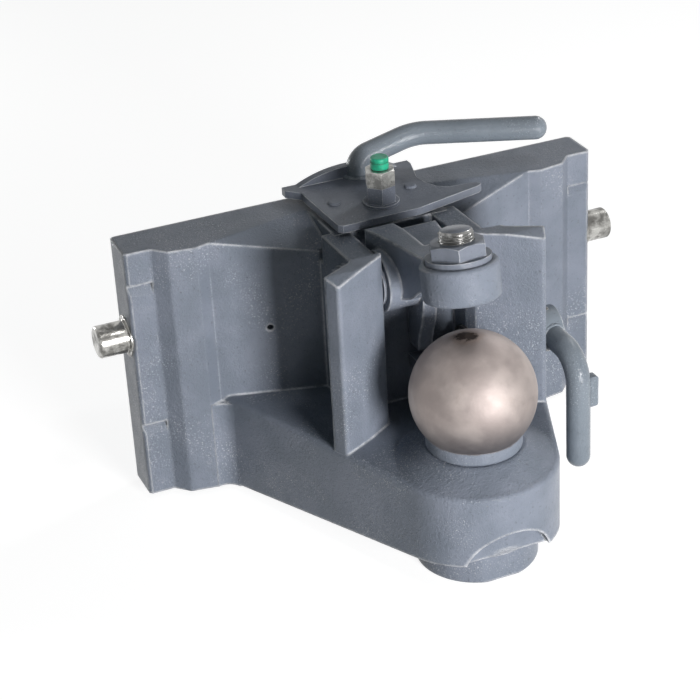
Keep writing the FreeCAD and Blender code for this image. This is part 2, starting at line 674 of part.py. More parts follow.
def locking_pin():
    """The right locking pin, its end turned down a little, with the blind hole for its spring."""
    tip = RAIL_HALF + PIN_REACH
    pin = rod(PIN_RADIUS, (PIN_INNER_X, PIN_Y, PIN_Z), (tip, PIN_Y, PIN_Z))
    pin = rounded(pin, PIN_ROUND, lambda m, e: m.x > tip - FIT)
    start = RAIL_HALF + PIN_END_START
    relief = ring(PIN_RADIUS + PAST, PIN_RADIUS - PIN_END_RELIEF, (start, PIN_Y, PIN_Z), (tip, PIN_Y, PIN_Z))
    pin = pin.cut(relief)
    return pin.cut(rod(SPRING_HOLE_RADIUS, (PIN_INNER_X - PAST, PIN_Y, PIN_Z), (SPRING_SEAT_X, PIN_Y, PIN_Z)))


def pin_bush():
    start = (RAIL_HALF - BUSH_LONG, PIN_Y, PIN_Z)
    end = (RAIL_HALF + BUSH_PROUD, PIN_Y, PIN_Z)
    return ring(BUSH_RADIUS, PIN_RADIUS + RUN, start, end)


def pin_spring():
    """A coil spring between the web in the cam room and the foot of the pin's hole."""
    free = SPRING_SEAT_X - WEB_HALF - 2 * SPRING_WIRE
    helix = Part.makeHelix(free / SPRING_TURNS, free, SPRING_RADIUS)
    profile = Part.Wire([Part.makeCircle(SPRING_WIRE, V(SPRING_RADIUS, 0, 0), V(0, 1, 0))])
    coil = Part.Wire(helix).makePipeShell([profile], True, True)
    return moved(along_x(coil), WEB_HALF + SPRING_WIRE, PIN_Y, PIN_Z)


def pin_arm():
    """The arm welded to the front of a locking pin, with the hole for its peg."""
    arm = block(PEG_X - ARM_HALF, PEG_X + ARM_HALF, LEVER_Y - ARM_HALF, PIN_Y, ARM_LOW, ARM_HIGH)
    tip = LEVER_Y - ARM_HALF
    middle = (ARM_LOW + ARM_HIGH) / 2
    arm = rounded(arm, ARM_ROUND, lambda m, e: m.y < tip + FIT and abs(m.z - middle) < FIT)
    pin = rod(PIN_RADIUS, (0, PIN_Y, PIN_Z), (RAIL_HALF, PIN_Y, PIN_Z))
    hole = rod(PEG_RADIUS, (PEG_X, LEVER_Y, ARM_LOW - PAST), (PEG_X, LEVER_Y, ARM_HIGH + PAST))
    return arm.cut([pin, hole])


def drive_peg():
    peg = rod(PEG_RADIUS, (PEG_X, LEVER_Y, ARM_LOW), (PEG_X, LEVER_Y, CAM_HIGH + PEG_PROUD))
    return peg.makeChamfer(PEG_BEVEL, [e for e in peg.Edges if e.Closed])


def cam_slot():
    """One curved slot: a peg in it is drawn in by equal steps for equal turns of the cam."""
    steps = 8
    inner, outer = [], []
    half = PEG_RADIUS + PEG_GAP
    for k in range(steps + 1):
        turn = math.radians(LEVER_TURN) * k / steps
        reach = PEG_X - STROKE * k / steps
        fall = -STROKE / math.radians(LEVER_TURN)
        c, s = math.cos(turn), math.sin(turn)
        along = V(fall * c - reach * s, fall * s + reach * c, 0)
        along.normalize()
        across = V(-along.y, along.x, 0)
        middle = V(reach * c, reach * s, 0)
        inner.append(middle + across * half)
        outer.append(middle - across * half)
    first, second = Part.BSplineCurve(), Part.BSplineCurve()
    first.interpolate(inner)
    second.interpolate(outer)
    wire = Part.Wire([
        first.toShape(), Part.LineSegment(inner[-1], outer[-1]).toShape(),
        second.toShape(), Part.LineSegment(outer[0], inner[0]).toShape(),
    ])
    tall = CAM_HIGH - CAM_LOW + 2 * PAST
    slot = moved(Part.Face(wire).extrude(V(0, 0, tall)), 0, 0, CAM_LOW - PAST)
    start = (inner[0] + outer[0]) * 0.5
    finish = (inner[-1] + outer[-1]) * 0.5
    for end in (start, finish):
        slot = slot.fuse(Part.makeCylinder(half, tall, V(end.x, end.y, CAM_LOW - PAST)))
    return slot


def cam():
    """The two-lobed cam that draws both locking pins in together."""
    disc = Part.makeCylinder(CAM_RADIUS, CAM_HIGH - CAM_LOW, V(0, 0, CAM_LOW))
    disc = disc.common(block(-CAM_RADIUS, CAM_RADIUS, -CAM_HALF, CAM_HALF, CAM_LOW, CAM_HIGH))
    slot = cam_slot()
    other = slot.copy()
    other.rotate(V(0, 0, 0), V(0, 0, 1), 180.0)
    hole = Part.makeCylinder(SHAFT_NECK, CAM_HIGH - CAM_LOW + 2 * PAST, V(0, 0, CAM_LOW - PAST))
    return moved(disc.cut([slot, other, hole]), 0, LEVER_Y, 0)


def lever_shaft():
    """The lever's shaft, with the lower hexagon that drives the plate."""
    shaft = Part.makeCylinder(SHAFT_RADIUS, WASHER_TOP - SHAFT_SHOULDER, V(0, 0, SHAFT_SHOULDER))
    neck = Part.makeCylinder(SHAFT_NECK, SHAFT_SHOULDER - CAM_LOW, V(0, 0, CAM_LOW))
    head = hexagon(HEX_FLATS, WASHER_TOP, HEX_MID, HEX_TURN)
    stud = Part.makeCylinder(STUD_RADIUS, HEX_TOP - HEX_MID, V(0, 0, HEX_MID))
    return moved(fused([shaft, neck, head, stud]), 0, LEVER_Y, 0)


def shaft_nut():
    nut = chamfered_hexagon(HEX_FLATS, HEX_MID, HEX_TOP, HEX_TURN)
    hole = Part.makeCylinder(STUD_RADIUS, HEX_TOP - HEX_MID, V(0, 0, HEX_MID))
    return moved(nut.cut(hole), 0, LEVER_Y, 0)


def shaft_washer():
    return ring(WASHER_RADIUS, SHAFT_RADIUS + FIT, (0, LEVER_Y, PLATE_HIGH), (0, LEVER_Y, WASHER_TOP))


def shaft_bush():
    return ring(SHAFT_BUSH_RADIUS, SHAFT_RADIUS + RUN, (0, LEVER_Y, ROOM_ROOF), (0, LEVER_Y, RAIL_HEIGHT))


def grease_nipple():
    base = rod(NIPPLE_BASE, (0, LEVER_Y, HEX_TOP), (0, LEVER_Y, CAP_LOW))
    stem = rod(NIPPLE_RADIUS, (0, LEVER_Y, CAP_LOW), (0, LEVER_Y, NIPPLE_TOP))
    return fused([base, rounded(stem, NIPPLE_ROUND, lambda m, e: m.z > NIPPLE_TOP - FIT)])


def nipple_cap():
    body = rod(CAP_RADIUS, (0, LEVER_Y, CAP_LOW), (0, LEVER_Y, CAP_TOP))
    body = rounded(body, CAP_ROUND, lambda m, e: m.z > CAP_TOP - FIT)
    hollow = rod(NIPPLE_RADIUS + FIT, (0, LEVER_Y, CAP_LOW - PAST), (0, LEVER_Y, NIPPLE_TOP + FIT))
    waist = CAP_LOW + 0.55 * (CAP_TOP - CAP_LOW)
    ends = (0, LEVER_Y, waist), (0, LEVER_Y, waist + CAP_GROOVE_TALL)
    groove = ring(CAP_RADIUS + PAST, CAP_RADIUS - CAP_GROOVE, *ends)
    return body.cut([hollow, groove])


def plate_holes():
    """The holes for the shaft and the two rivets, which the plate and its pad share."""
    low, high = RAIL_HEIGHT - PAST, PLATE_HIGH + PAST
    holes = [rod(SHAFT_RADIUS, (0, LEVER_Y, low), (0, LEVER_Y, high))]
    for x in (-RIVET_X, RIVET_X):
        holes.append(rod(RIVET_RADIUS, (x, RIVET_Y, low), (x, RIVET_Y, high)))
    return holes


def lever_plate():
    """The top plate: straight front, pointed tail and an upturned arch at the back."""
    points = list(PLATE_OUTLINE) + [
        (ARCH_RIGHT, -ARCH_THICK), (ARCH_RIGHT, 0), (ARCH_LEFT, 0), (ARCH_LEFT, -ARCH_THICK), PLATE_WAIST,
    ]
    plate = plan(points, PLATE_LOW, PLATE_HIGH)
    middle = V((ARCH_LEFT + ARCH_RIGHT) / 2, -ARCH_THICK, ARCH_TOP - ARCH_RADIUS)
    arch = Part.makeCylinder(ARCH_RADIUS, ARCH_THICK, middle, V(0, 1, 0))
    arch = arch.common(block(ARCH_LEFT, ARCH_RIGHT, -ARCH_THICK, 0, PLATE_LOW, ARCH_TOP + PAST))
    return fused([plate, arch]).cut(plate_holes())


def hand_lever():
    """The bent bar, cut to sit on the plate and against its arch where it is welded."""
    bar = bent_bar(LEVER_PATH, BAR_RADIUS, LEVER_BENDS)
    below = block(-RAIL_HALF, RAIL_HALF, -FACET_REACH, PAST, RAIL_HEIGHT - PAST, PLATE_HIGH)
    return bar.cut(below).cut(lever_plate())


def slide_pad():
    """The flat pad under the lever plate that slides on the deck."""
    return plan(SLIDE_OUTLINE, RAIL_HEIGHT, PLATE_LOW).cut(plate_holes())


def pad_rivets():
    rivets = []
    for x in (-RIVET_X, RIVET_X):
        shank = rod(RIVET_RADIUS, (x, RIVET_Y, RAIL_HEIGHT + RIVET_SHY), (x, RIVET_Y, PLATE_HIGH))
        head = rod(RIVET_HEAD, (x, RIVET_Y, PLATE_HIGH), (x, RIVET_Y, PLATE_HIGH + RIVET_TALL))
        head = rounded(head, RIVET_ROUND, lambda m, e: m.z > PLATE_HIGH + RIVET_TALL - FIT)
        rivets.append(fused([shank, head]))
    return Part.makeCompound(rivets)


def tilted(shape):
    """Moves a shape drawn on the z axis to the keeper's leaning axis through the ball."""
    turned = shape.copy()
    turned.rotate(V(0, 0, 0), V(1, 0, 0), -KEEPER_TILT)
    return moved(turned, 0, BALL_Y, BALL_Z)


def from_pivot(points):
    """Outline points given from the keeper's pivot, in y and z."""
    return [(PIVOT_Y + y, PIVOT_Z + z) for y, z in points]


def keeper():
    """The hold-down: ring over the ball, wide arm, hub on the pivot and a latch leg."""
    boss = Part.makeCylinder(RING_RADIUS, RING_HIGH - RING_LOW, V(0, 0, RING_LOW))
    boss = tilted(rounded(boss, RING_ROUND, lambda m, e: e.Closed))
    arm = side(from_pivot(ARM_PROFILE), -HUB_HALF, HUB_HALF)
    left = [(-x, PIVOT_Y + y) for x, y in ARM_HALVES]
    right = [(x, PIVOT_Y + y) for x, y in reversed(ARM_HALVES)]
    arm = arm.common(plan(left + right, BALL_Z, PIVOT_Z + 2 * BALL_RADIUS))
    hub = rod(HUB_RADIUS, (-HUB_HALF, PIVOT_Y, PIVOT_Z), (HUB_HALF, PIVOT_Y, PIVOT_Z))
    toe_y, toe_z = LATCH_Y + TOE_GAP, PIVOT_Z - LEG_REACH
    back_y = PIVOT_Y + LEG_BACK[0]
    leg = side(from_pivot(LEG_FRONT) + [
        (toe_y, LATCH_Z + LATCH_RADIUS + EDGE_ROUND), (toe_y, toe_z), (PIVOT_Y + TOE_BACK, toe_z),
        (back_y, toe_z + LATCH_RADIUS), (back_y, PIVOT_Z + LEG_BACK[1]),
    ], -LEG_HALF, LEG_HALF)
    step = side(from_pivot(ARM_STEP), -LEG_HALF, HUB_HALF + PAST)
    outside = HUB_HALF + PAST
    bore = rod(PIVOT_RADIUS + RUN, (-outside, PIVOT_Y, PIVOT_Z), (outside, PIVOT_Y, PIVOT_Z))
    thread = tilted(Part.makeCylinder(SCREW_RADIUS, SCREW_HIGH, V(0, 0, RING_LOW - PAST)))
    spot = tilted(ring(NUT_WASHER_RADIUS + NUT_WASHER_PLAY, SCREW_RADIUS / 2,
                       (0, 0, RING_HIGH - SPOT_DEEP), (0, 0, SCREW_HIGH)))
    return fused([boss, arm, hub, leg]).cut([step, bore, thread, spot])


def adjusting_screw():
    screw = Part.makeCylinder(SCREW_RADIUS - FIT, SCREW_HIGH - SCREW_LOW, V(0, 0, SCREW_LOW))
    return tilted(screw.makeChamfer(SCREW_BEVEL, [e for e in screw.Edges if e.Closed]))


def lock_nut():
    nut = chamfered_hexagon(NUT_FLATS, NUT_LOW, NUT_HIGH, NUT_TURN)
    return tilted(nut.cut(Part.makeCylinder(SCREW_RADIUS, NUT_HIGH - NUT_LOW, V(0, 0, NUT_LOW))))


def nut_washer():
    hole = SCREW_RADIUS + NUT_WASHER_PLAY
    return tilted(ring(NUT_WASHER_RADIUS, hole, (0, 0, RING_HIGH - SPOT_DEEP), (0, 0, NUT_LOW)))


def keeper_pin():
    """The pivot pin through both cheeks, with a head on the left and a clip on the right."""
    pin = rod(PIVOT_RADIUS, (-PIVOT_BOSS_X, PIVOT_Y, PIVOT_Z), (PIVOT_END, PIVOT_Y, PIVOT_Z))
    end = -PIVOT_BOSS_X - PIVOT_HEAD_LONG
    head = rod(PIVOT_RADIUS + PIVOT_HEAD, (end, PIVOT_Y, PIVOT_Z), (-PIVOT_BOSS_X, PIVOT_Y, PIVOT_Z))
    head = rounded(head, EDGE_ROUND, lambda m, e: m.x < end + FIT)
    return fused([pin, head]).cut(clip_groove(PIVOT_RADIUS, PIVOT_BOSS_X + SIDE_PLAY, PIVOT_Y, PIVOT_Z))


def keeper_clip():
    return clip(PIVOT_RADIUS, PIVOT_BOSS_X + SIDE_PLAY, PIVOT_Y, PIVOT_Z)


def keeper_washers():
    """Thin washers that fill the play between the keeper's hub and the cheeks."""
    washers = []
    near, far = HUB_HALF + SIDE_PLAY, CHANNEL_HALF - SIDE_PLAY
    for s in (-1, 1):
        ends = (s * near, PIVOT_Y, PIVOT_Z), (s * far, PIVOT_Y, PIVOT_Z)
        washers.append(ring(PIVOT_BOSS_RADIUS, PIVOT_RADIUS + FIT, *ends))
    return Part.makeCompound(washers)


def latch_shaft():
    """The cross shaft behind the ball, with the flat that lets the keeper's leg pass."""
    shaft = rod(LATCH_RADIUS, (LATCH_LEFT, LATCH_Y, LATCH_Z), (LATCH_SHOULDER, LATCH_Y, LATCH_Z))
    collar_x = LATCH_BOSS_X + SIDE_PLAY
    collar = rod(LATCH_COLLAR, (collar_x, LATCH_Y, LATCH_Z), (LATCH_SHOULDER, LATCH_Y, LATCH_Z))
    neck = rod(LATCH_NECK, (LATCH_SHOULDER, LATCH_Y, LATCH_Z), (LATCH_RIGHT, LATCH_Y, LATCH_Z))
    reach = LATCH_RADIUS + PAST
    flat = block(LATCH_LEFT - PAST, LATCH_FLAT_HALF, LATCH_Y - reach, LATCH_Y + reach,
                 LATCH_Z + LATCH_FLAT, LATCH_Z + reach)
    groove = clip_groove(LATCH_RADIUS, latch_clip_x(), LATCH_Y, LATCH_Z)
    return fused([shaft, collar, neck]).cut([flat, groove, latch_key_shape()])


def latch_clip_x():
    """Where the latch shaft's clip sits, inside the channel against the washer."""
    return CHANNEL_HALF - LATCH_WASHER - CLIP_WIDE


def latch_key_shape():
    """The roll pin through the handle's hub and the shaft's neck."""
    ends = (HANDLE_X, LATCH_Y, LATCH_Z - HANDLE_HUB), (HANDLE_X, LATCH_Y, LATCH_Z + HANDLE_HUB)
    return rod(LATCH_KEY_RADIUS, *ends)


def latch_key():
    ends = (HANDLE_X, LATCH_Y, LATCH_Z - HANDLE_HUB), (HANDLE_X, LATCH_Y, LATCH_Z + HANDLE_HUB)
    return latch_key_shape().cut(rod(LATCH_KEY_BORE, *ends))


def latch_clip():
    return clip(LATCH_RADIUS, latch_clip_x(), LATCH_Y, LATCH_Z)


def latch_washer():
    x = CHANNEL_HALF
    ends = (x - LATCH_WASHER, LATCH_Y, LATCH_Z), (x - SIDE_PLAY, LATCH_Y, LATCH_Z)
    return ring(LATCH_WASHER_RADIUS, LATCH_RADIUS + FIT, *ends)


def latch_handle():
    """The bent bar handle on the right, welded to a hub on the shaft's neck."""
    hub = rod(HANDLE_HUB, (LATCH_SHOULDER, LATCH_Y, LATCH_Z), (LATCH_RIGHT, LATCH_Y, LATCH_Z))
    path = [(HANDLE_X, LATCH_Y, LATCH_Z), (HANDLE_X, HANDLE_Y + HANDLE_LEAN, LATCH_Z - 2 * HANDLE_LEAN),
            (HANDLE_X, HANDLE_Y, HANDLE_FOOT + BAR_RADIUS)]
    bar = bent_bar(path, BAR_RADIUS, (HANDLE_BEND,))
    neck = rod(LATCH_NECK, (LATCH_SHOULDER, LATCH_Y, LATCH_Z), (LATCH_RIGHT, LATCH_Y, LATCH_Z))
    collar = rod(LATCH_COLLAR, (0, LATCH_Y, LATCH_Z), (LATCH_SHOULDER, LATCH_Y, LATCH_Z))
    return fused([hub, bar]).cut([neck, collar, latch_key_shape()])


def handle_tab():
    """The small stop tab welded to the outside of the handle."""
    end = HANDLE_X + BAR_RADIUS + TAB_OUT
    tab = block(HANDLE_X, end, HANDLE_Y - TAB_HALF, HANDLE_Y + TAB_HALF, TAB_LOW, TAB_HIGH)
    tab = rounded(tab, TAB_ROUND, lambda m, e: m.x > end - FIT and abs(m.y - HANDLE_Y) < FIT)
    return tab.cut(latch_handle())


save("hitch_body", hitch_body())
save("ball_stud", ball_stud())
save("ball_nut", ball_nut())
save("ball_nut_lock_screw", lock_screw())
save("back_cover", back_cover())
save("cover_screws", cover_screws())
for sign, name in ((-1, "left"), (1, "right")):
    for part_name, make in (("locking_pin", locking_pin), ("pin_bush", pin_bush), ("pin_arm", pin_arm),
                            ("drive_peg", drive_peg), ("pin_spring", pin_spring)):
        shape = make()
        if sign < 0:
            shape = mirrored(shape)
        save(name + "_" + part_name, shape)
save("cam", cam())
save("lever_shaft", lever_shaft())
save("shaft_nut", shaft_nut())
save("shaft_washer", shaft_washer())
save("shaft_bush", shaft_bush())
save("grease_nipple", grease_nipple())
save("nipple_cap", nipple_cap())
save("lever_plate", lever_plate())
save("hand_lever", hand_lever())
save("slide_pad", slide_pad())
save("pad_rivets", pad_rivets())
save("keeper", keeper())
save("adjusting_screw", adjusting_screw())
save("lock_nut", lock_nut())
save("nut_washer", nut_washer())
save("keeper_pin", keeper_pin())
save("keeper_clip", keeper_clip())
save("keeper_washers", keeper_washers())
save("latch_shaft", latch_shaft())
save("latch_key", latch_key())
save("latch_clip", latch_clip())
save("latch_washer", latch_washer())
save("latch_handle", latch_handle())
save("handle_tab", handle_tab())
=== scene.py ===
import math

import bmesh
import bpy
from mathutils import Matrix, Vector


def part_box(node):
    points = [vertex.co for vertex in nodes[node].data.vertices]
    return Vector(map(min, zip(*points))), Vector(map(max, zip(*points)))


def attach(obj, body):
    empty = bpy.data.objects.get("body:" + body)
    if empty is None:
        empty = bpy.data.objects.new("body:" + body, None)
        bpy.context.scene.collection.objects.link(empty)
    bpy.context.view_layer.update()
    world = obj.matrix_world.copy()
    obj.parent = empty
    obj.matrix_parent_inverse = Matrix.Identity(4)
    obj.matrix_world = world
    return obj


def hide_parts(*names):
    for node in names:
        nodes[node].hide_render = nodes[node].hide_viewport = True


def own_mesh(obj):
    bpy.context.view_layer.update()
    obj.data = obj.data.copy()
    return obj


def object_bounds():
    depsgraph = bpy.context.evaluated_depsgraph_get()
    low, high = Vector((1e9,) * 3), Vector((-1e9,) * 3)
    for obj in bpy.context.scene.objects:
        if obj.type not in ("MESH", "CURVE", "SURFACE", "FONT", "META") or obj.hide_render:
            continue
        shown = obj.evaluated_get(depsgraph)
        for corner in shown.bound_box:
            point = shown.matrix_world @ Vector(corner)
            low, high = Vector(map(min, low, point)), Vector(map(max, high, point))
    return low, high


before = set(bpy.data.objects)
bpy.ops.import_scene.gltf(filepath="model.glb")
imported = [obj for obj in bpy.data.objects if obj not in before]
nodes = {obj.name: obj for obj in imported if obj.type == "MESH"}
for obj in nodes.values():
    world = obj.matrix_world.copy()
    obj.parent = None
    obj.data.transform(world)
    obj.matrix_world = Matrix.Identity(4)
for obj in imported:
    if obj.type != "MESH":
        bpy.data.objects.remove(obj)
cad_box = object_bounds()
scene = bpy.context.scene

# Places and sizes that match the part's source, in metres in the ball frame
KEEPER_TILT = math.radians(10.5)
SCREW_RADIUS = 0.011
SCREW_LOW, SCREW_HIGH = 0.061, 0.1055
PIN_LINE = (0.170, 0.004)

# Forms that only the scene has, in metres
SCREW_PITCH, THREAD_DEEP, SCREW_BEVEL = 0.002, 0.0011, 0.0016
SCREW_AROUND, SCREW_ROWS_PER_TURN = 72, 10
COIL_RADIUS, COIL_WIRE, COIL_TURNS = 0.0050, 0.0010, 9
COIL_AROUND, COIL_STEPS_PER_TURN = 8, 20
WELD_PITCH, WELD_RIPPLE, WELD_FLAT = 0.0022, 0.22, 0.7
WELD_AROUND, WELD_ROWS_PER_RIPPLE = 12, 6


def srgb(r, g, b):
    """A display colour from 0 to 255 as the linear colour that shaders take."""
    out = []
    for value in (r, g, b):
        c = value / 255.0
        out.append(c / 12.92 if c <= 0.04045 else ((c + 0.055) / 1.055) ** 2.4)
    return (*out, 1.0)


# Enamel
GRAY_LIGHT, GRAY_DARK = srgb(127, 134, 147), srgb(113, 121, 133)
# The light speck colour is a painted highlight; the light edge colour is wear and painted highlight
GRAY_PIT, GRAY_PAINTED_GLINT, GRAY_WORN_AND_GLINT = srgb(60, 63, 69), srgb(240, 243, 247), srgb(240, 242, 246)
GRAY_ROUGH = (0.36, 0.52)

# Ball: its stain, and the heights between which painted shade towards the bottom and then paint begin
BALL_LIGHT, BALL_DARK, BALL_FILM = srgb(171, 162, 158), srgb(145, 136, 133), srgb(142, 130, 121)
STAIN_BROWN, STAIN_HALO, BALL_PAINTED_SHADE = srgb(40, 28, 22), srgb(126, 102, 83), srgb(100, 100, 104)
STAIN_MIDDLE = (-0.0026, 0.0020, 0.0392)
SHADE_HEIGHTS = (0.004, -0.024)
PAINT_HEIGHTS = (-0.0245, -0.0262)

# Bare metal and plastic
METAL_SCUFF, METAL_EDGE, PLASTIC_EDGE = srgb(70, 68, 66), srgb(232, 230, 226), srgb(160, 225, 205)
SMALL_EDGE = 0.0006


class Shader:
    """A material's node tree, with short calls for the nodes that these materials share."""

    def __init__(self, name):
        self.material = bpy.data.materials.new(name)
        self.material.use_nodes = True
        self.tree = self.material.node_tree
        self.shader = self.tree.nodes["Principled BSDF"]
        self.place = self.tree.nodes.new("ShaderNodeTexCoord").outputs["Object"]

    def put(self, socket, value):
        if isinstance(value, bpy.types.NodeSocket):
            self.tree.links.new(value, socket)
        else:
            socket.default_value = value

    def set(self, **values):
        for name, value in values.items():
            self.put(self.shader.inputs[name.replace("_", " ")], value)

    def math(self, operation, a, b, clamp=False):
        node = self.tree.nodes.new("ShaderNodeMath")
        node.operation = operation
        node.use_clamp = clamp
        self.put(node.inputs[0], a)
        self.put(node.inputs[1], b)
        return node.outputs[0]

    def vector(self, operation, a, b):
        node = self.tree.nodes.new("ShaderNodeVectorMath")
        node.operation = operation
        self.put(node.inputs[0], a)
        self.put(node.inputs[1], b)
        return node.outputs["Vector" if operation == "MULTIPLY" else "Value"]

    def noise(self, scale, detail=2.0, rough=0.5, place=None, warp=0.0):
        node = self.tree.nodes.new("ShaderNodeTexNoise")
        node.inputs["Scale"].default_value = scale
        node.inputs["Detail"].default_value = detail
        node.inputs["Roughness"].default_value = rough
        node.inputs["Distortion"].default_value = warp
        self.put(node.inputs["Vector"], place or self.place)
        return node.outputs["Fac"]

    def ramp(self, value, low, high, start=0.0, end=1.0):
        node = self.tree.nodes.new("ShaderNodeMapRange")
        node.interpolation_type = "SMOOTHSTEP"
        self.put(node.inputs["Value"], value)
        node.inputs["From Min"].default_value = low
        node.inputs["From Max"].default_value = high
        node.inputs["To Min"].default_value = start
        node.inputs["To Max"].default_value = end
        return node.outputs["Result"]

    def mix(self, share, a, b):
        node = self.tree.nodes.new("ShaderNodeMix")
        node.data_type = "RGBA"
        self.put(node.inputs["Factor"], share)
        self.put(node.inputs[6], a)
        self.put(node.inputs[7], b)
        return node.outputs[2]

    def bump(self, height, distance, strength=1.0, under=None):
        node = self.tree.nodes.new("ShaderNodeBump")
        node.inputs["Distance"].default_value = distance
        node.inputs["Strength"].default_value = strength
        self.put(node.inputs["Height"], height)
        if under is not None:
            self.put(node.inputs["Normal"], under)
        return node.outputs["Normal"]

    def height(self):
        node = self.tree.nodes.new("ShaderNodeSeparateXYZ")
        self.put(node.inputs[0], self.place)
        return node.outputs["Z"]

    def soft_edges(self, radius):
        """The normal with its edges rounded, and how near an edge the point is."""
        node = self.tree.nodes.new("ShaderNodeBevel")
        node.samples = 6
        node.inputs["Radius"].default_value = radius
        plain = self.tree.nodes.new("ShaderNodeNewGeometry").outputs["Normal"]
        turned = self.vector("DOT_PRODUCT", node.outputs["Normal"], plain)
        return node.outputs["Normal"], self.math("SUBTRACT", 1.0, turned, clamp=True)


def paint_into(s, light, dark, rough, grain, edge):
    """Colour, roughness and normal of gloss enamel over a cast or forged skin."""
    normal, near_edge = s.soft_edges(edge)
    cloud = s.noise(24.0, 4.0, 0.6)
    pits = s.noise(480.0, 3.0, 0.66)
    peel = s.noise(1100.0, 2.0, 0.6)
    tone = s.mix(s.ramp(cloud, 0.34, 0.68), dark, light)
    tone = s.mix(s.ramp(pits, 0.60, 0.74, 0.0, 0.4), tone, GRAY_PIT)
    # Edges painted light along convex and concave edges: partly wear, partly painted highlight
    worn_and_glint_places = s.ramp(s.noise(80.0, 4.0, 0.6), 0.26, 0.58)
    worn_and_glint = s.math("MULTIPLY", s.ramp(near_edge, 0.03, 0.17), worn_and_glint_places)
    # Painted highlight: light specks on the grain's tips stand in for speckled glints
    painted_glint_places = s.ramp(s.noise(16.0, 3.0), 0.46, 0.64)
    painted_glints = s.math("MULTIPLY", s.ramp(peel, 0.58, 0.70), painted_glint_places)
    tone = s.mix(s.math("MULTIPLY", painted_glints, 0.5 * grain), tone, GRAY_PAINTED_GLINT)
    tone = s.mix(s.math("MULTIPLY", worn_and_glint, 0.8), tone, GRAY_WORN_AND_GLINT)
    uneven = s.ramp(s.noise(60.0, 3.0), 0.3, 0.7, *rough)
    skin = s.bump(pits, 0.00055 * grain, under=normal)
    skin = s.bump(peel, 0.00035 * grain, under=skin)
    return tone, uneven, skin


def paint(name, light, dark, rough, grain, edge, coat=0.5):
    """Gloss enamel, speckled in its highlights with lamp glints and painted highlight specks, and
    painted light along its edges as wear and painted highlight.
    """
    s = Shader(name)
    tone, uneven, skin = paint_into(s, light, dark, rough, grain, edge)
    s.set(Base_Color=tone, Roughness=uneven, Normal=skin, Coat_Normal=skin)
    s.set(Specular_IOR_Level=0.05, Coat_Weight=coat, Coat_Roughness=0.06, Coat_IOR=1.3)
    return s.material


def ball_steel():
    """Satin turned steel, warm and mottled, stained on top and painted from the collar down."""
    s = Shader("satin_ball_steel")
    height = s.height()
    tone = s.mix(s.ramp(s.noise(30.0, 4.0, 0.6), 0.36, 0.66), BALL_DARK, BALL_LIGHT)
    film = s.ramp(s.noise(70.0, 5.0, 0.7, warp=0.6), 0.55, 0.78, 0.0, 0.22)
    tone = s.mix(film, tone, BALL_FILM)

    wander = s.math("MULTIPLY", s.math("SUBTRACT", s.noise(190.0, 4.0, 0.7), 0.5), 0.012)
    ragged = s.math("ADD", s.vector("DISTANCE", s.place, STAIN_MIDDLE), wander)
    stain = s.ramp(ragged, 0.0072, 0.0046)
    tone = s.mix(s.ramp(ragged, 0.013, 0.006, 0.0, 0.35), tone, STAIN_HALO)
    tone = s.mix(stain, tone, STAIN_BROWN)
    # Painted shade: the ball is darkened towards its bottom
    tone = s.mix(s.ramp(height, *SHADE_HEIGHTS, 0.0, 0.6), tone, BALL_PAINTED_SHADE)

    rough = s.ramp(s.noise(120.0, 4.0), 0.3, 0.7, 0.56, 0.66)
    rough = s.math("MAXIMUM", rough, s.math("MULTIPLY", stain, 0.85))
    metal = s.math("SUBTRACT", 1.0, s.math("MULTIPLY", stain, 0.9))
    skin = s.bump(s.noise(700.0, 3.0, 0.6), 0.00006)

    edge = s.math("ADD", height, s.math("MULTIPLY", s.noise(140.0, 3.0), 0.002))
    painted = s.ramp(edge, *PAINT_HEIGHTS)
    bare = s.math("SUBTRACT", 1.0, painted)
    gray, gray_rough, gray_skin = paint_into(s, GRAY_LIGHT, GRAY_DARK, GRAY_ROUGH, 0.6, 0.0015)
    rough = s.math("ADD", s.math("MULTIPLY", rough, bare), s.math("MULTIPLY", gray_rough, painted))
    s.set(Base_Color=s.mix(painted, tone, gray), Normal=s.mix(painted, skin, gray_skin))
    s.set(Roughness=rough, Metallic=s.math("MULTIPLY", metal, bare))
    return s.material


def bare_metal(name, light, dark, rough, scuff, stretch=(1.0, 1.0, 1.0)):
    """Bare or plated steel with scuffs, scratches and dull patches."""
    s = Shader(name)
    normal, near_edge = s.soft_edges(SMALL_EDGE)
    patch = s.noise(130.0, 4.0, 0.65, warp=0.4)
    lines = s.noise(520.0, 3.0, 0.6, s.vector("MULTIPLY", s.place, stretch))
    tone = s.mix(s.ramp(patch, 0.38, 0.66), dark, light)
    tone = s.mix(s.ramp(lines, 0.60, 0.72, 0.0, scuff), tone, METAL_SCUFF)
    tone = s.mix(s.ramp(near_edge, 0.04, 0.2, 0.0, 0.6), tone, METAL_EDGE)
    skin = s.bump(lines, 0.00012, 0.7, normal)
    uneven = s.ramp(patch, 0.3, 0.7, rough[1], rough[0])
    s.set(Base_Color=tone, Roughness=uneven, Normal=skin, Metallic=1.0)
    return s.material


def moulded(name, light, dark, rough):
    """Moulded plastic with a faint satin texture and scuffed edges."""
    s = Shader(name)
    normal, near_edge = s.soft_edges(SMALL_EDGE)
    tone = s.mix(s.ramp(s.noise(240.0, 3.0), 0.35, 0.65), dark, light)
    tone = s.mix(s.ramp(near_edge, 0.05, 0.25, 0.0, 0.3), tone, PLASTIC_EDGE)
    skin = s.bump(s.noise(2400.0, 2.0), 0.00005, under=normal)
    uneven = s.ramp(s.noise(90.0), 0.3, 0.7, rough, rough + 0.15)
    s.set(Base_Color=tone, Roughness=uneven, Normal=skin)
    return s.material


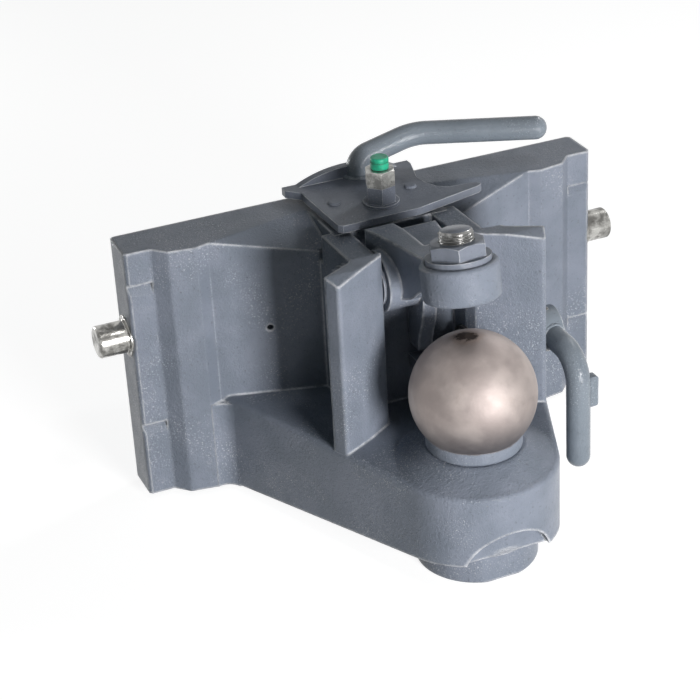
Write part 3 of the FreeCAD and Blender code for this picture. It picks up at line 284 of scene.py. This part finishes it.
# Enamels take light, dark, roughness, grain, edge radius and coat
cast_paint = paint("gray_cast_enamel", GRAY_LIGHT, GRAY_DARK, GRAY_ROUGH, 1.0, 0.0036)
bar_paint = paint("gray_bar_enamel", srgb(122, 131, 140), srgb(112, 121, 130),
                  (0.22, 0.34), 0.5, 0.0012, coat=0.9)
plate_paint = paint("gray_plate_enamel", srgb(124, 130, 141), srgb(110, 116, 128),
                    (0.34, 0.50), 0.5, 0.0010)
steel_ball = ball_steel()
# Metals take light, dark, roughness, scuffs and the stretch of their scratches
zinc = bare_metal("bright_zinc", srgb(196, 195, 191), srgb(116, 115, 112),
                  (0.14, 0.34), 0.75, (0.25, 1.0, 1.0))
hex_zinc = bare_metal("speckled_zinc", srgb(190, 190, 186), srgb(128, 128, 126), (0.28, 0.5), 0.7)
thread_steel = bare_metal("bare_thread_steel", srgb(158, 158, 157), srgb(104, 104, 103), (0.2, 0.4), 0.4)
plain_steel = bare_metal("plain_turned_steel", srgb(168, 166, 163), srgb(120, 118, 116),
                         (0.26, 0.46), 0.4)
bronze = bare_metal("bearing_bronze", srgb(186, 142, 84), srgb(142, 100, 56), (0.3, 0.5), 0.4)
green_plastic = moulded("green_moulded_plastic", srgb(28, 176, 136), srgb(18, 141, 108), 0.38)
black_plastic = moulded("black_moulded_plastic", srgb(44, 45, 47), srgb(30, 31, 33), 0.5)

# Nodes that aren't named here are plain steel
FINISHES = (
    (cast_paint, ("hitch_body", "keeper", "ball_nut")),
    (bar_paint, ("hand_lever", "latch_handle", "handle_tab")),
    (plate_paint, ("lever_plate", "lever_shaft", "shaft_washer", "lock_nut", "nut_washer", "pad_rivets",
                   "back_cover", "keeper_pin", "keeper_washers", "latch_shaft")),
    (steel_ball, ("ball_stud",)),
    (zinc, ("left_locking_pin", "right_locking_pin", "left_pin_bush", "right_pin_bush", "cover_screws")),
    (hex_zinc, ("shaft_nut", "grease_nipple")),
    (green_plastic, ("nipple_cap",)),
    (black_plastic, ("slide_pad",)),
    (bronze, ("shaft_bush",)),
)
for node in nodes.values():
    node.data.materials.clear()
    node.data.materials.append(plain_steel)
for material, names in FINISHES:
    for name in names:
        nodes[name].data.materials[0] = material


def mesh_piece(name, build, material, body):
    """A new mesh object from a bmesh, riding on a CAD body."""
    mesh = bpy.data.meshes.new(name)
    bm = bmesh.new()
    build(bm)
    bmesh.ops.recalc_face_normals(bm, faces=bm.faces)
    for face in bm.faces:
        face.smooth = True
    bm.to_mesh(mesh)
    bm.free()
    piece = bpy.data.objects.new(name, mesh)
    scene.collection.objects.link(piece)
    mesh.materials.append(material)
    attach(piece, body)
    return piece


def close_tube(bm, rings):
    """Faces from ring to ring of points and over both ends. Returns the last end."""
    around = len(rings[0])
    for near, far in zip(rings, rings[1:]):
        for i in range(around):
            k = (i + 1) % around
            bm.faces.new((near[i], near[k], far[k], far[i]))
    bm.faces.new(rings[0])
    return bm.faces.new(rings[-1])


def threaded_screw(bm):
    """The adjusting screw with a real helical thread and bevelled ends, along the keeper's axis."""
    long = SCREW_HIGH - SCREW_LOW
    rows = int(long / SCREW_PITCH * SCREW_ROWS_PER_TURN)
    crest = SCREW_RADIUS - 0.00005
    tilt = Matrix.Rotation(-KEEPER_TILT, 4, "X")
    rings = []
    for j in range(rows + 1):
        s = SCREW_LOW + long * j / rows
        end = min(s - SCREW_LOW, SCREW_HIGH - s)
        ring = []
        for i in range(SCREW_AROUND):
            angle = 2 * math.pi * i / SCREW_AROUND
            phase = ((s - SCREW_LOW) / SCREW_PITCH - i / SCREW_AROUND) % 1.0
            groove = max(0.0, 1.0 - abs(phase - 0.5) / 0.44)
            r = crest - THREAD_DEEP * min(1.0, groove * 1.12)
            r = min(r, SCREW_RADIUS - SCREW_BEVEL + end)
            ring.append(bm.verts.new(tilt @ Vector((r * math.cos(angle), r * math.sin(angle), s))))
        rings.append(ring)
    close_tube(bm, rings).material_index = 1


screw = mesh_piece("threaded_adjusting_screw", threaded_screw, thread_steel, "keeper")
screw.data.materials.append(plate_paint)
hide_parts("adjusting_screw")


def bead(path, radius):
    """A weld bead: a lumpy tube along a path of points, with the ripples of its passes."""
    points = [Vector(p) for p in path]
    lengths = [0.0]
    for a, b in zip(points, points[1:]):
        lengths.append(lengths[-1] + (b - a).length)
    long = lengths[-1]

    def at(s):
        k = 0
        while s > lengths[k + 1] and k < len(points) - 2:
            k += 1
        share = (s - lengths[k]) / (lengths[k + 1] - lengths[k])
        return points[k].lerp(points[k + 1], share), (points[k + 1] - points[k]).normalized()

    def build(bm):
        rows = int(long / WELD_PITCH * WELD_ROWS_PER_RIPPLE)
        rings = []
        for j in range(rows + 1):
            s = long * j / rows
            middle, along = at(s)
            side = along.cross(Vector((0, 0, 1)))
            if side.length < 1e-3:
                side = along.cross(Vector((0, 1, 0)))
            side.normalize()
            up = side.cross(along).normalized()
            wave = (s / WELD_PITCH) % 1.0
            lumps = 0.07 * math.sin(9.1 * s / WELD_PITCH)
            swell = 1.0 - WELD_RIPPLE * abs(2 * wave - 1.0) + lumps
            end = min(1.0, min(s, long - s) / radius + 0.25)
            r = radius * swell * math.sqrt(end)
            ring = []
            for i in range(WELD_AROUND):
                angle = 2 * math.pi * i / WELD_AROUND
                out = side * math.cos(angle) * r + up * math.sin(angle) * r * WELD_FLAT
                ring.append(bm.verts.new(middle + out))
            rings.append(ring)
        close_tube(bm, rings)

    return build


def arc(middle, radius, start, end, steps, plane="xy"):
    """Points round part of a circle in plane xy or xz, from one angle in degrees to another."""
    points = []
    for k in range(steps + 1):
        a = math.radians(start + (end - start) * k / steps)
        u, v = radius * math.cos(a), radius * math.sin(a)
        points.append(Vector(middle) + Vector((u, v, 0) if plane == "xy" else (u, 0, v)))
    return points


def coil(left, right):
    """A helical spring along x in a locking pin, between two ends."""
    def build(bm):
        steps = COIL_TURNS * COIL_STEPS_PER_TURN
        long = right - left - 2 * COIL_WIRE
        rings = []
        for k in range(steps + 1):
            turn = 2 * math.pi * COIL_TURNS * k / steps
            out = Vector((0, math.cos(turn), math.sin(turn)))
            middle = Vector((left + COIL_WIRE + long * k / steps, *PIN_LINE)) + out * COIL_RADIUS
            ring = []
            for i in range(COIL_AROUND):
                a = 2 * math.pi * i / COIL_AROUND
                along = Vector((COIL_WIRE * math.sin(a), 0, 0))
                ring.append(bm.verts.new(middle + out * (COIL_WIRE * math.cos(a)) + along))
            rings.append(ring)
        close_tube(bm, rings)

    return build


# The return springs, drawn as coils in place of the CAD springs, riding on the pins
for hand in ("left", "right"):
    low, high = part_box(hand + "_pin_spring")
    spring = mesh_piece(hand + "_return_spring", coil(low[0], high[0]), plain_steel,
                        hand + "_pin")
    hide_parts(hand + "_pin_spring")
    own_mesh(spring)

# Welds: the hand lever's foot on its plate, the handle's bar on its hub and the handle's tab
WELDS = (
    ("lever_foot_weld", "lever", arc((0.0048, 0.180, 0.0778), 0.0088, -195, 15, 28), 0.0022),
    ("handle_hub_weld", "latch", arc((0.086, 0.0545, -0.0082), 0.0086, 0, 360, 40, "xz"), 0.0016),
    ("tab_front_weld", "latch", ((0.0939, 0.0181, -0.0445), (0.0939, 0.0181, -0.0235)), 0.0012),
    ("tab_back_weld", "latch", ((0.0939, 0.0239, -0.0445), (0.0939, 0.0239, -0.0235)), 0.0012),
)
for name, body, path, radius in WELDS:
    mesh_piece(name, bead(path, radius), bar_paint, body)

# Camera: fitted to the photograph, with the target in the ball frame
AZIMUTH, ELEVATION, ROLL = math.radians(22.0), math.radians(28.36), math.radians(-3.18)
DISTANCE = 1.33798
TARGET = Vector((-0.03368, 0.115, -0.01582))
FOCAL_PIXELS, IMAGE_PIXELS = 2023.107, 700.0

camera_data = bpy.data.cameras.new("photo_camera")
camera = bpy.data.objects.new("photo_camera", camera_data)
scene.collection.objects.link(camera)
scene.camera = camera
camera_data.sensor_width = 36.0
camera_data.lens = FOCAL_PIXELS / IMAGE_PIXELS * camera_data.sensor_width
back = Vector((-math.sin(AZIMUTH) * math.cos(ELEVATION), -math.cos(AZIMUTH) * math.cos(ELEVATION),
               math.sin(ELEVATION)))
level = Vector((math.cos(AZIMUTH), -math.sin(AZIMUTH), 0.0))
upright = back.cross(level)
right = level * math.cos(ROLL) + upright * math.sin(ROLL)
up = upright * math.cos(ROLL) - level * math.sin(ROLL)
turned = Matrix((right, up, back)).transposed().to_4x4()
camera.matrix_world = Matrix.Translation(TARGET + back * DISTANCE) @ turned

# Stage: a pale floor under the part, white all round and six lamps
FLOOR_GAP, FLOOR_HALF = 0.0002, 6.0
FLOOR_GRAY = (0.62, 0.62, 0.62, 1)
FLOOR_GLOW, FLOOR_SHADE = 0.86, (0.36, 0.36, 0.36, 1)
AMBIENT_COLOR, AMBIENT_STRENGTH = (0.84, 1.0, 0.99, 1), 0.04
LAMP_TARGET = Vector((0.0, 0.08, 0.0))
# Name, place, side in metres, watts and colour
LAMPS = (
    ("key", (0.14, -1.36, 0.20), 0.40, 27.0, (1.0, 0.985, 0.98)),
    ("over", (0.05, -0.50, 1.25), 0.12, 1.6, (1.0, 0.99, 0.98)),
    ("side", (1.4, -0.05, 0.50), 0.30, 1.6, (1.0, 1.0, 1.0)),
    ("back", (0.88, 0.56, 0.84), 0.18, 3.1, (1.0, 1.0, 1.0)),
    ("rear", (-0.6, 1.3, -0.01), 0.18, 4.6, (1.0, 1.0, 1.0)),
    ("left", (-1.3, -0.2, 0.6), 0.80, 0.2, (0.80, 1.0, 0.97)),
)


def lit_white(tree, output, plain, bright):
    """The bright shader where the camera and reflections see it, and the plain one elsewhere."""
    path = tree.nodes.new("ShaderNodeLightPath")
    mirrored = tree.nodes.new("ShaderNodeMath")
    mirrored.operation = "MAXIMUM"
    tree.links.new(path.outputs["Is Glossy Ray"], mirrored.inputs[0])
    tree.links.new(path.outputs["Is Transmission Ray"], mirrored.inputs[1])
    seen = tree.nodes.new("ShaderNodeMath")
    seen.operation = "MAXIMUM"
    tree.links.new(path.outputs["Is Camera Ray"], seen.inputs[0])
    tree.links.new(mirrored.outputs[0], seen.inputs[1])
    mixed = tree.nodes.new("ShaderNodeMixShader")
    tree.links.new(seen.outputs[0], mixed.inputs[0])
    tree.links.new(plain, mixed.inputs[1])
    tree.links.new(bright, mixed.inputs[2])
    tree.links.new(mixed.outputs[0], output)


floor_mesh = bpy.data.meshes.new("floor")
bm = bmesh.new()
bmesh.ops.create_grid(bm, x_segments=8, y_segments=8, size=FLOOR_HALF)
bm.to_mesh(floor_mesh)
bm.free()
floor = bpy.data.objects.new("floor", floor_mesh)
floor.location.z = cad_box[0].z - FLOOR_GAP
scene.collection.objects.link(floor)
floor_paint = bpy.data.materials.new("pale_floor")
floor_paint.use_nodes = True
tree = floor_paint.node_tree
pale = tree.nodes["Principled BSDF"]
pale.inputs["Base Color"].default_value = FLOOR_GRAY
pale.inputs["Roughness"].default_value = 0.9
pale.inputs["Specular IOR Level"].default_value = 0.0
glow = tree.nodes.new("ShaderNodeEmission")
glow.inputs["Strength"].default_value = FLOOR_GLOW
shaded = tree.nodes.new("ShaderNodeBsdfDiffuse")
shaded.inputs["Color"].default_value = FLOOR_SHADE
white = tree.nodes.new("ShaderNodeAddShader")
tree.links.new(glow.outputs[0], white.inputs[0])
tree.links.new(shaded.outputs[0], white.inputs[1])
lit_white(tree, tree.nodes["Material Output"].inputs["Surface"], pale.outputs[0], white.outputs[0])
floor_mesh.materials.append(floor_paint)

world = bpy.data.worlds.new("studio")
scene.world = world
world.use_nodes = True
tree = world.node_tree
ambient = tree.nodes["Background"]
ambient.inputs["Color"].default_value = AMBIENT_COLOR
ambient.inputs["Strength"].default_value = AMBIENT_STRENGTH
backdrop = tree.nodes.new("ShaderNodeBackground")
backdrop.inputs["Strength"].default_value = 1.0
lit_white(tree, tree.nodes["World Output"].inputs["Surface"], ambient.outputs[0], backdrop.outputs[0])

for name, place, size, watts, color in LAMPS:
    data = bpy.data.lights.new(name, "AREA")
    data.shape = "SQUARE"
    data.size = size
    data.energy = watts
    data.color = color
    light = bpy.data.objects.new(name, data)
    scene.collection.objects.link(light)
    light.location = place
    light.rotation_euler = (LAMP_TARGET - Vector(place)).to_track_quat("-Z", "Y").to_euler()

scene.view_settings.view_transform = "Standard"
